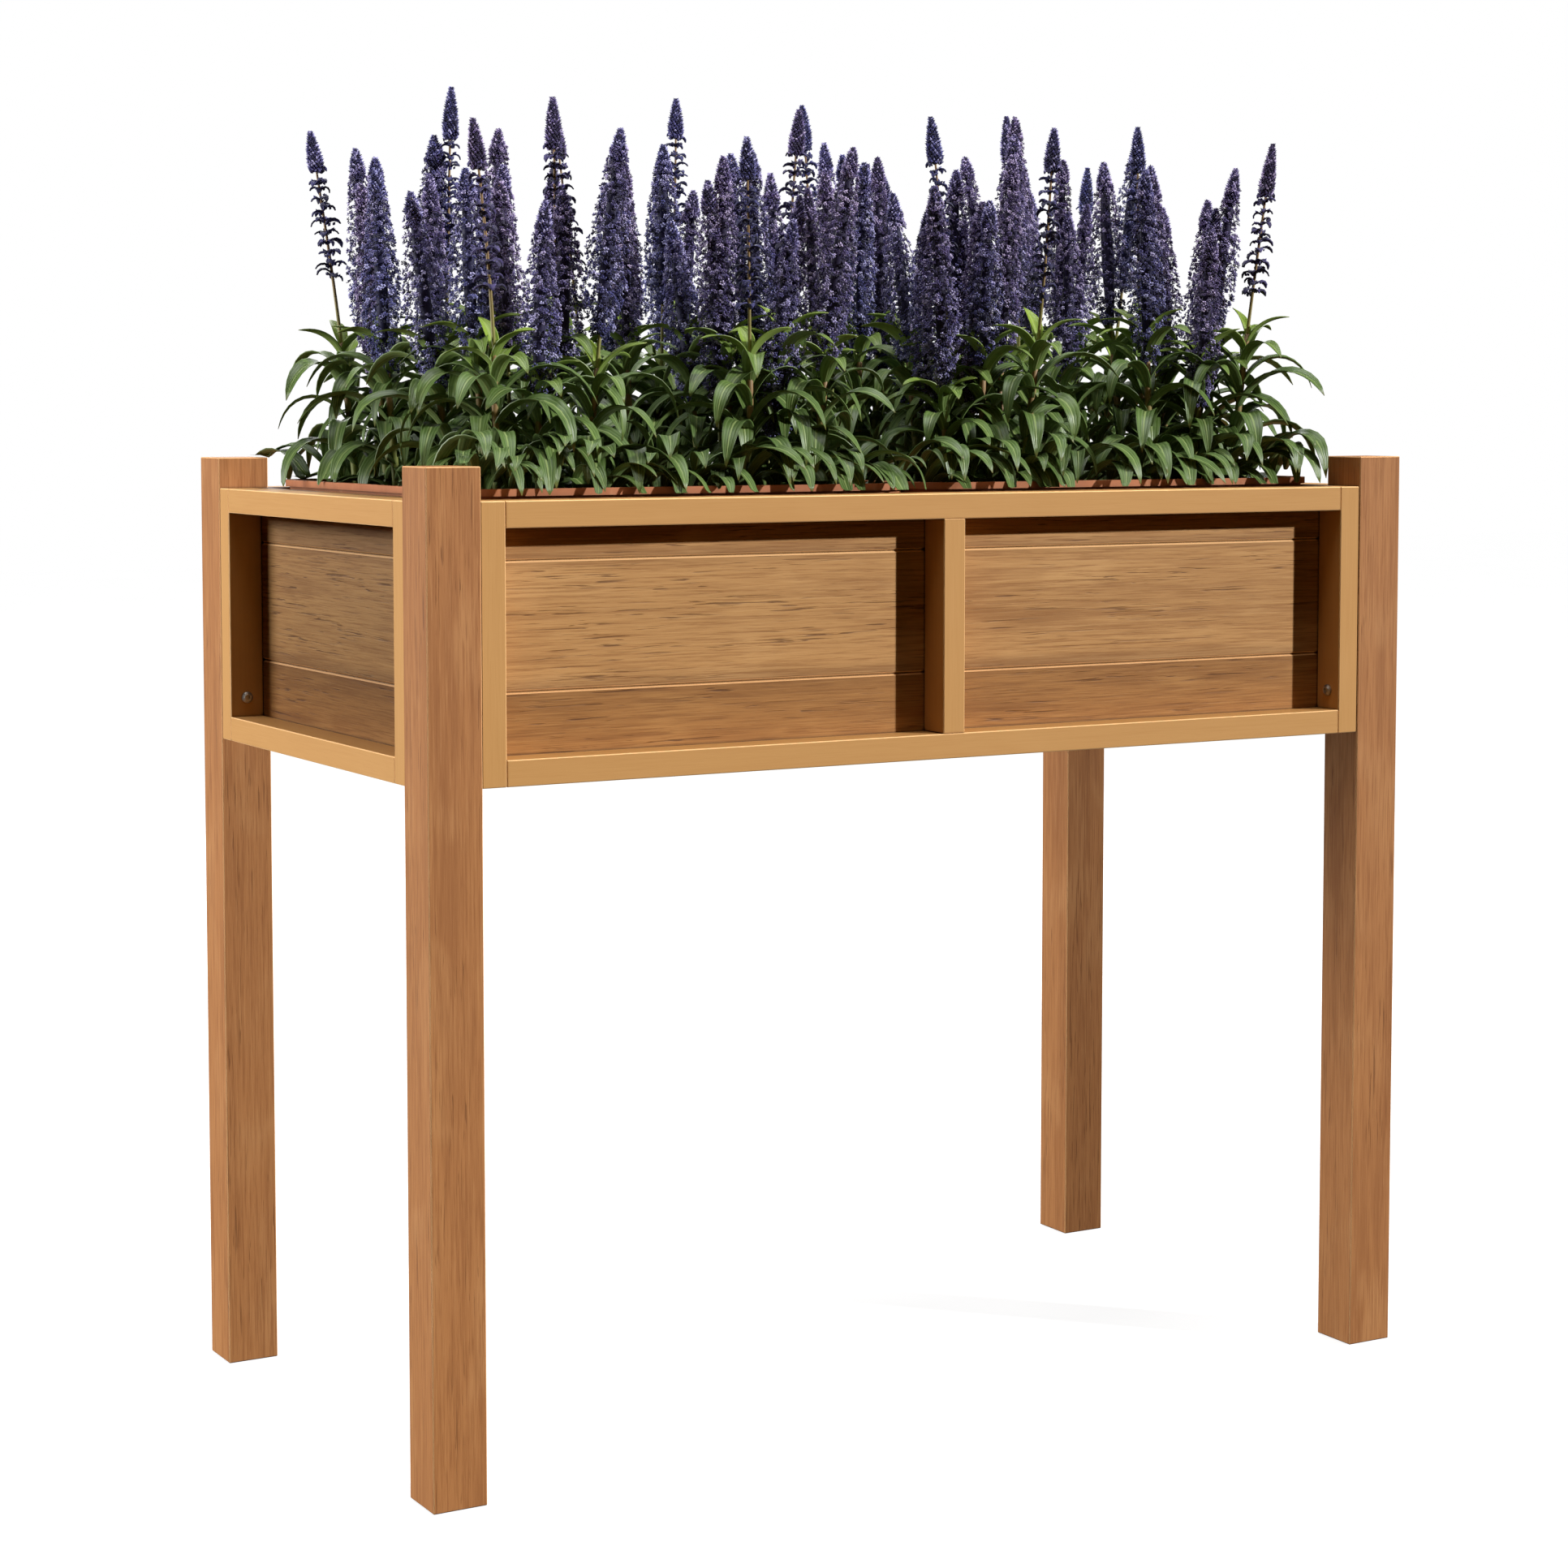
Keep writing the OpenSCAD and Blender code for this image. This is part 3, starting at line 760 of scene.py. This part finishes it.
# Leafy shoots up the stalks, and the low leaves along the rim
LEAVES_ON_SHOOT = 20
SHOOT_HEIGHT = (0.125, 0.178)
SHOOT_RADII = (0.0042, 0.0026)
SHOOT_RINGS = 5
SHOOT_LEAF_LENGTH = 0.107
SHOOT_LEAF_WIDTH = (0.0155, 0.021)
SKIRT_LEAVES = 14
SKIRT_REACH = 0.106
SKIRT_INSET = (0.045, 0.075)
SKIRT_LEAF_LENGTH = (0.1, 0.125)
SKIRT_LEAF_WIDTH = (0.017, 0.022)

# How far leaves stay from the edge beside the other trough, how far they reach over the
# outer edges, and the distance over which they are eased into these limits
EDGE_CLEARANCE = 0.004
END_OVERHANG = 0.04
SIDE_OVERHANG = 0.032
SOFT_LIMIT = 0.02


def scatter(n):
    """A fraction from 0 to 1 that looks random but is the same every time."""
    value = 43758.5 * math.sin(math.radians(n * 127.1))
    return value - math.floor(value)


def stalk_place(plant, k, radius, top):
    """Where stalk k of a plant stands from the plant's middle, and the height of its tip."""
    turn = math.radians(360 * (k + 0.4 * scatter(11 * plant + k)) / STALKS)
    out = (0.36 if k % 2 == 0 else 0.73) * radius + 0.009 * scatter(7 * plant + 3 * k)
    drop = 0 if k == 0 else SPIKE_DROP * scatter(13 * plant + 5 * k)
    return out * math.cos(turn), out * math.sin(turn), top - drop


def ease(value, low, high):
    """0 below low, 1 above high, and straight between."""
    return np.clip((value - low) / (high - low), 0, 1)


class Bed:
    """The room that the plants of one trough may fill."""

    def __init__(self, side):
        self.sign = -1 if side == "left" else 1
        low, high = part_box(side + "_trough")
        self.rim = high.z
        self.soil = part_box(side + "_compost")[1].z
        self.middle = np.array([(low.x + high.x) / 2, (low.y + high.y) / 2])
        self.half = np.array([(high.x - low.x) / 2, (high.y - low.y) / 2])
        self.frame_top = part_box("front_top_rail")[1].z
        post_low, post_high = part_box("post_back_right")
        self.post_corner = np.array([post_low.x, post_low.y])
        self.post_top = post_high.z

    def reach(self, away):
        """How far from the middle a leaf may be, along X and along Y."""
        outward = away[..., 0] * self.sign > 0
        return np.stack([self.half[0] + np.where(outward, END_OVERHANG, -EDGE_CLEARANCE),
                         np.full(outward.shape, self.half[1] + SIDE_OVERHANG)], axis=-1)

    def room(self, place, heading):
        """How far a leaf may go level from a place before it leaves the planter's top."""
        ahead = around(heading, 0.0)[:2]
        away = place[:2] - self.middle
        limit = self.reach(np.sign(ahead) * self.half)
        return float(np.min((limit - away * np.sign(ahead)) / np.maximum(np.abs(ahead), 1e-6)))

    def floor(self, flat):
        """The lowest height for a leaf at places seen from above."""
        beyond = np.max(np.abs(flat - self.middle) - self.half, axis=-1)
        height = self.soil + 0.003 + (self.rim - self.soil) * ease(beyond, -0.035, -0.015)
        height = height - (self.rim - self.frame_top) * ease(beyond, 0.002, 0.006)
        over_post = np.min(np.abs(flat) - self.post_corner, axis=-1)
        return height + (self.post_top + 0.002 - height) * ease(over_post, -0.012, -0.002)

    def keep(self, points):
        """Presses leaf points clear of the compost, the rims, the wood and the other trough."""
        points = points.copy()
        away = points[..., :2] - self.middle
        limit = self.reach(away) - SOFT_LIMIT
        over = np.maximum(np.abs(away) - limit, 0)
        eased = SOFT_LIMIT * (1 - np.exp(-over / SOFT_LIMIT))
        pressed = np.minimum(np.abs(away), limit) + eased
        points[..., :2] = self.middle + np.sign(away) * pressed
        points[..., 2] = np.maximum(points[..., 2], self.floor(points[..., :2]))
        return points


def add_shoot(leaves, draw, bed, foot, top, vigour):
    """Leaves in a spiral up a shoot: long and arching low down, short and upright at its top."""
    for k in range(LEAVES_ON_SHOOT):
        t = (k + 0.6) / LEAVES_ON_SHOOT
        start = foot + (top - foot) * t
        heading = k * GOLDEN_TURN + draw.uniform(-0.3, 0.3)
        young = max(0.0, (t - 0.7) / 0.3)
        length = SHOOT_LEAF_LENGTH * vigour * (1 - 0.2 * (2 * t - 0.8) ** 2) * (1 - 0.5 * young)
        length *= draw.uniform(0.85, 1.12)
        spread = min(1.0, max(0.5, bed.room(start, heading) / (0.68 * length)))
        add_leaf(leaves, LEAF, start, heading,
                 rise=0.6 + 0.5 * t + 0.2 * (1 - spread) + draw.uniform(-0.15, 0.15),
                 length=length * spread,
                 width=(draw.uniform(*SHOOT_LEAF_WIDTH) * (1 - 0.3 * young)
                        * (0.7 + 0.3 * spread)),
                 droop=(2.2 - 1.6 * young) * draw.uniform(0.8, 1.15),
                 fold=draw.uniform(0.25, 0.55) + 0.3 * young,
                 twist=draw.uniform(-0.5, 0.5),
                 tone=np.clip(0.1 + 0.2 * t + 0.65 * young + draw.uniform(-0.1, 0.1), 0, 1),
                 keep=bed.keep)


def add_skirt(leaves, draw, bed, middle):
    """Low leaves that arch over the trough's rim beside one plant and hide most of it."""
    row = math.copysign(1, middle[1])
    edge = bed.middle[1] + row * bed.half[1]
    for k in range(2 * SKIRT_LEAVES):
        short = 0.7 if k % 2 else 1.0
        across = (k + 0.5) / SKIRT_LEAVES - 1
        along = middle[0] + SKIRT_REACH * across + draw.uniform(-0.006, 0.006)
        start = np.array([along, edge - row * short * draw.uniform(*SKIRT_INSET),
                          bed.soil + draw.uniform(0.012, 0.04)])
        add_leaf(leaves, LEAF, start, row * math.pi / 2 + draw.uniform(-0.6, 0.6),
                 rise=draw.uniform(0.6, 1.05), length=short * draw.uniform(*SKIRT_LEAF_LENGTH),
                 width=short * draw.uniform(*SKIRT_LEAF_WIDTH), droop=draw.uniform(1.3, 2.1),
                 fold=draw.uniform(0.2, 0.45), twist=draw.uniform(-0.3, 0.3),
                 tone=draw.uniform(0.0, 0.25), keep=bed.keep)


class Stalk:
    """A gently bent upright stalk from a foot in the compost to a tip."""

    def __init__(self, foot, tip, bend):
        self.foot, self.tip, self.bend = foot, tip, bend
        self.height = tip[2] - foot[2]

    def at(self, up):
        """Points at heights above the foot."""
        t = np.asarray(up, float)[..., None] / self.height
        sway = np.sin(math.pi * np.clip(t, 0, 1)) * self.bend
        return self.foot + (self.tip - self.foot) * t + sway


def add_flowering(flowers, draw, stalk, is_spire):
    """The flowers of one stalk: an open spire of bracts, or a full plume under a cone of buds."""
    hue = draw.random()
    if is_spire:
        cone = draw.uniform(*SPIRE_TIP)
        spike = draw.uniform(*SPIRE_LENGTH)
        add_cone(flowers, draw, stalk.at, stalk.height - cone, stalk.height,
                 SPIRE_TIP_RADIUS, 0.3, hue)
        add_whorls(flowers, draw, stalk.at, stalk.height - spike,
                   stalk.height - 0.85 * cone, SPIRE_REACH, 0.6 * hue)
    else:
        cone = draw.uniform(*PLUME_TIP)
        spike = draw.uniform(*PLUME_LENGTH)
        add_cone(flowers, draw, stalk.at, stalk.height - cone, stalk.height,
                 PLUME_TIP_RADIUS, 0.42, hue)
        add_plume(flowers, draw, stalk.at, stalk.height - spike,
                  stalk.height - 0.6 * cone, draw.uniform(*PLUME_RADIUS), hue)


def add_stalk(stems, draw, foot, tip):
    """A bare stalk from a foot to a tip."""
    stalk = Stalk(foot, tip, np.array([*draw.uniform(-0.006, 0.006, 2), 0]))
    levels = np.linspace(0, stalk.height - 0.004, STALK_RINGS)
    add_stem(stems, stalk.at(levels), np.linspace(*STALK_RADII, STALK_RINGS))
    return stalk


def make_plant(number, node, materials):
    """Leaves, stalks and flowers in place of one plant of the CAD model."""
    side, _, row, _ = node.split("_")
    bed = Bed(side)
    draw = np.random.default_rng(100 + number)
    low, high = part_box(node)
    middle = np.array([(low.x + high.x) / 2, (low.y + high.y) / 2, bed.soil])
    radius = (high.x - low.x) / 2
    leaves = Shape("tone", "along", "across", "under")
    stems = Shape("along")
    flowers = Shape("tone", "hue")
    for k in range(STALKS):
        x, y, top = stalk_place(number, k, radius, high.z)
        tip = np.array([middle[0] - bed.sign * x, middle[1] + y, top])
        tip[0] += bed.sign * OUTWARD_SPREAD * max(0.0, bed.sign * (tip[0] - bed.middle[0]))
        tip[1] += 0.08 * (tip[1] - bed.middle[1])
        foot = middle + 0.6 * (np.array([tip[0], tip[1], 0]) - [middle[0], middle[1], 0])
        foot[2] = bed.soil - 0.01
        tip[2] -= ROW_DROP[row]
        is_spire = k in ROW_SPIRES[row]
        if not is_spire:
            tip[2] -= draw.uniform(*PLUME_DROP)
        stalk = add_stalk(stems, draw, foot, tip)
        add_flowering(flowers, draw, stalk, is_spire)
        vigour = 0.75 + 0.25 * float(ease(abs(foot[0]), 0.03, 0.1))
        shoot_top = stalk.at(draw.uniform(*SHOOT_HEIGHT) * vigour)
        path = [foot + (shoot_top - foot) * t for t in np.linspace(0, 1, SHOOT_RINGS)]
        add_stem(stems, path, np.linspace(*SHOOT_RADII, SHOOT_RINGS), 8)
        add_shoot(leaves, draw, bed, foot + [0, 0, 0.012], shoot_top, vigour)
    add_skirt(leaves, draw, bed, middle)
    for k in range(SIDE_STALKS):
        out = radius * draw.uniform(0.2, 0.85)
        turn = 2 * math.pi * (k + draw.uniform(0.2, 0.8)) / SIDE_STALKS
        foot = middle + 0.7 * out * around(turn, 0.0)
        foot[2] = bed.soil - 0.01
        tip = middle + out * around(turn, 0.0)
        tip[2] = high.z - ROW_DROP[row] - draw.uniform(*SIDE_PLUME_DROP)
        add_flowering(flowers, draw, add_stalk(stems, draw, foot, tip), False)
    shapes = {"leaves": leaves, "stems": stems, "flowers": flowers}
    for part, shape in shapes.items():
        piece = shape.make(node + "_" + part, materials[part])
        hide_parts(node)
        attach(piece, side + "_planting")


# ---- Compost surface ----------------------------------------------------------------------

COMPOST_GRID = 110
COMPOST_CORNER = 0.034
COMPOST_LEVEL = 0.001
COMPOST_BUMP = 0.0022
HIGHEST_BUMP = 0.003


def make_compost(side, material):
    """The compost as a block with a crumbly uneven top."""
    node = side + "_compost"
    low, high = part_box(node)
    draw = np.random.default_rng(7)
    n = COMPOST_GRID
    middle = np.array([(low.x + high.x) / 2, (low.y + high.y) / 2])
    half = np.array([(high.x - low.x) / 2, (high.y - low.y) / 2])
    u, v = np.meshgrid(np.linspace(-1, 1, n), np.linspace(-1, 1, n), indexing="ij")
    away = np.column_stack([u.ravel() * half[0], v.ravel() * half[1]])
    core = half - COMPOST_CORNER
    over = np.clip(np.abs(away) - core, 0, None)
    reach = np.maximum(np.linalg.norm(over, axis=1), 1e-9)
    square = np.max(over, axis=1)
    rounded = over * (square / reach)[:, None]
    flat = middle + np.sign(away) * (np.minimum(np.abs(away), core) + rounded)
    bumps = draw.normal(0, 1, (n, n))
    bumps = (bumps + np.roll(bumps, 1, 0) + np.roll(bumps, 1, 1)) / 3
    height = high.z - COMPOST_LEVEL
    height = height + np.clip(COMPOST_BUMP * bumps.ravel(), -HIGHEST_BUMP, HIGHEST_BUMP)
    border = np.concatenate([np.arange(n) * n, (n - 1) * n + np.arange(1, n),
                             np.arange(n - 2, -1, -1) * n + n - 1, np.arange(n - 2, 0, -1)])
    height[border] = high.z - COMPOST_LEVEL
    top = np.column_stack([flat, height])
    bottom = np.column_stack([flat[border], np.full(len(border), low.z)])
    faces = [(i * n + j, (i + 1) * n + j, (i + 1) * n + j + 1, i * n + j + 1)
             for i in range(n - 1) for j in range(n - 1)]
    edge = len(border)
    for k in range(edge):
        after = (k + 1) % edge
        faces.append((border[after], border[k], n * n + k, n * n + after))
    faces.append(tuple(n * n + k for k in reversed(range(edge))))
    shape = Shape()
    shape.add(np.concatenate([top, bottom]), outline(faces))
    piece = shape.make(node + "_bed", material)
    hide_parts(node)
    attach(piece, side + "_planting")


# ---- Studio -------------------------------------------------------------------------------

SUN_PLACE = (2.56, -2.68, 2.04)
SUN_TARGET = (0, 0, 0.6)
SUN_STRENGTH = 4.0
SUN_SOFTNESS = 2.0
LEG_SUN_STRENGTHS = {"post_back_left": 3.5, "post_back_right": 2.2}
END_BOARDS = ["left_board_low", "left_board_middle", "left_board_top"]
FLOOR_REACH = 14
FLOOR_DROP = 0.0005
FLOOR_GLOW = 0.82


def aim(obj, target):
    """Turns a light to face a point."""
    obj.rotation_euler = (Vector(target) - obj.location).to_track_quat("-Z", "Y").to_euler()


def link_light(light, nodes, lights_them):
    """Makes a light reach only some nodes, or everything except them."""
    group = bpy.data.collections.new(light.name + "_nodes")
    for node in nodes:
        group.objects.link(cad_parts[node])
    light.light_linking.receiver_collection = group
    if not lights_them:
        for member in group.collection_objects:
            member.light_linking.link_state = "EXCLUDE"


def area_light(name, place, target, size, power, colour=(1, 1, 1)):
    """A square soft light."""
    data = bpy.data.lights.new(name, "AREA")
    data.size = size
    data.energy = power
    data.color = colour
    obj = bpy.data.objects.new(name, data)
    obj.location = place
    bpy.context.collection.objects.link(obj)
    aim(obj, target)
    return obj


def sun_light(name, strength):
    """A distant light from the front right, with nearly sharp shadows."""
    data = bpy.data.lights.new(name, "SUN")
    data.energy = strength
    data.angle = math.radians(SUN_SOFTNESS)
    obj = bpy.data.objects.new(name, data)
    obj.location = SUN_PLACE
    bpy.context.collection.objects.link(obj)
    aim(obj, SUN_TARGET)
    return obj


def make_lights():
    """A sun at the front right with soft lights around, as in a product photograph.

    The box casts no shadow on the legs behind it, and the boards of the left end are dimmer
    than the frame around them.
    """
    link_light(sun_light("sun", SUN_STRENGTH), list(LEG_SUN_STRENGTHS), False)
    for leg, strength in LEG_SUN_STRENGTHS.items():
        leg_sun = sun_light("sun_" + leg, strength)
        link_light(leg_sun, [leg], True)
        shade = bpy.data.collections.new("shade_" + leg)
        shade.objects.link(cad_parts[leg])
        leg_sun.light_linking.blocker_collection = shade
    left = area_light("left_soft", (-5.5, 2.2, 0.9), (0, 0, 0.55), 3.6, 560)
    link_light(left, END_BOARDS, False)
    boards = area_light("left_boards", (-1.9, 1.3, 1.5), (-0.47, 0, 0.7), 0.9, 40)
    link_light(boards, END_BOARDS, True)
    area_light("top_soft", (0, 0, 4.2), (0, 0, 0), 3.0, 130)
    area_light("back_soft", (1.2, 3.4, 1.8), (0, 0, 0.6), 2.8, 90)
    area_light("warm_fill", (-1.2, -3.4, 1.0), (0, 0, 0.7), 2.4, 5, (1.0, 0.62, 0.2))


def make_backdrop():
    """A plain white surround that the camera sees, and that gives the object no light."""
    world = bpy.data.worlds.new("studio")
    bpy.context.scene.world = world
    world.use_nodes = True
    background = world.node_tree.nodes["Background"]
    background.inputs["Color"].default_value = (1, 1, 1, 1)
    background.inputs["Strength"].default_value = 1.0
    world.cycles_visibility.diffuse = False
    world.cycles_visibility.glossy = False
    world.cycles_visibility.transmission = False
    bpy.context.scene.view_settings.view_transform = "Standard"


def make_floor():
    """A plain pale floor that shows faint shadows and doesn't light the object from below."""
    r = FLOOR_REACH
    mesh = bpy.data.meshes.new("floor")
    corners = [(-r, -r, 0), (r, -r, 0), (r, r, 0), (-r, r, 0)]
    mesh.from_pydata(corners, [], [(0, 1, 2, 3)])
    floor = bpy.data.objects.new("floor", mesh)
    floor.location.z = -FLOOR_DROP
    bpy.context.collection.objects.link(floor)
    material, tree, shader = new_material("pale_floor")
    cloud = noise(tree, 3)
    shade = mix(tree, cloud, (0.36, 0.36, 0.36, 1), (0.4, 0.4, 0.4, 1))
    put(tree, shader.inputs["Base Color"], shade)
    shader.inputs["Roughness"].default_value = 0.95
    shader.inputs["Specular IOR Level"].default_value = 0.0
    shader.inputs["Emission Color"].default_value = (1, 1, 1, 1)
    shader.inputs["Emission Strength"].default_value = FLOOR_GLOW
    use_material(floor, material)
    floor.visible_diffuse = False
    floor.visible_glossy = False


# ---- Assembly -----------------------------------------------------------------------------

make_camera()
make_backdrop()
make_floor()
make_lights()

finish_wood()
steel = metal("plated_steel", (214, 206, 198), (150, 142, 134), 0.5)
brass = metal("brass", (200, 164, 92), (130, 98, 50), 0.35)
fasteners = {"frame_bolts": steel, "board_screws": steel, "ledger_screws": steel,
             "slat_screws": steel, "bolt_inserts": brass, "frame_dowels": beech()}
for fastener, fastener_material in fasteners.items():
    use_material(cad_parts[fastener], fastener_material)

pot = terracotta()
soil = compost_material()
for trough_side in ("left", "right"):
    use_material(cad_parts[trough_side + "_trough"], pot)
    make_compost(trough_side, soil)

# The plants in the order in which the CAD model numbers them, from 1
PLANTS = [f"{side}_plant_{row}_{place}" for side in ("left", "right")
          for row in ("front", "back") for place in ("outer", "inner")]
plant_materials = {"leaves": leaf_material(), "stems": stem_material(),
                   "flowers": petal_material()}
for plant_number, plant_node in enumerate(PLANTS, 1):
    make_plant(plant_number, plant_node, plant_materials)
